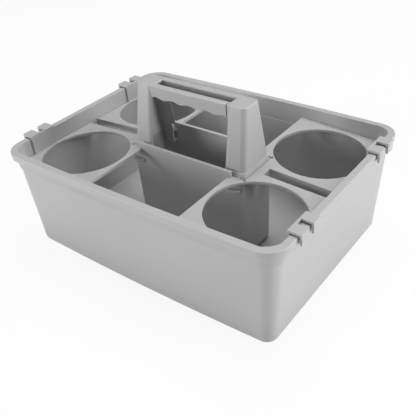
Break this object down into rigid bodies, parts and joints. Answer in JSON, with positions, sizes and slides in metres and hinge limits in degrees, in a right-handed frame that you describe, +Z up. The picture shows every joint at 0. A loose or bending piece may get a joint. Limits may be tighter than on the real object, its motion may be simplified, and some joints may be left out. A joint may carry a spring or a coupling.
{
  "type": "bottle caddy",
  "caption": "Open moulded carry caddy with a lift-out bottle tray, a deep middle bin and a slotted carrying handle.",
  "frame": {"origin": "middle of the underside of the tub, where it stands", "axes": "+X along the long side, +Y towards the back, +Z up"},
  "size_m": [0.3882, 0.2842, 0.1945],
  "materials": {
    "tub_plastic": "fine satin moulded grain",
    "tray_bin_plastic": "fine satin moulded grain",
    "tray_deck_right_plastic": "fine satin moulded grain",
    "tray_deck_left_plastic": "fine satin moulded grain",
    "handle_plastic": "fine satin moulded grain"
  },
  "bodies": {
    "tub": {"tub": "tub_plastic"},
    "tray": {"tray_bin": "tray_bin_plastic", "tray_deck_right": "tray_deck_right_plastic", "tray_deck_left": "tray_deck_left_plastic", "handle": "handle_plastic"}
  },
  "joints": [
    {"name": "tray_lift", "type": "slide", "parent": "tub", "child": "tray", "axis": [0, 0, 1], "range_m": [0, 0.14]}
  ]
}
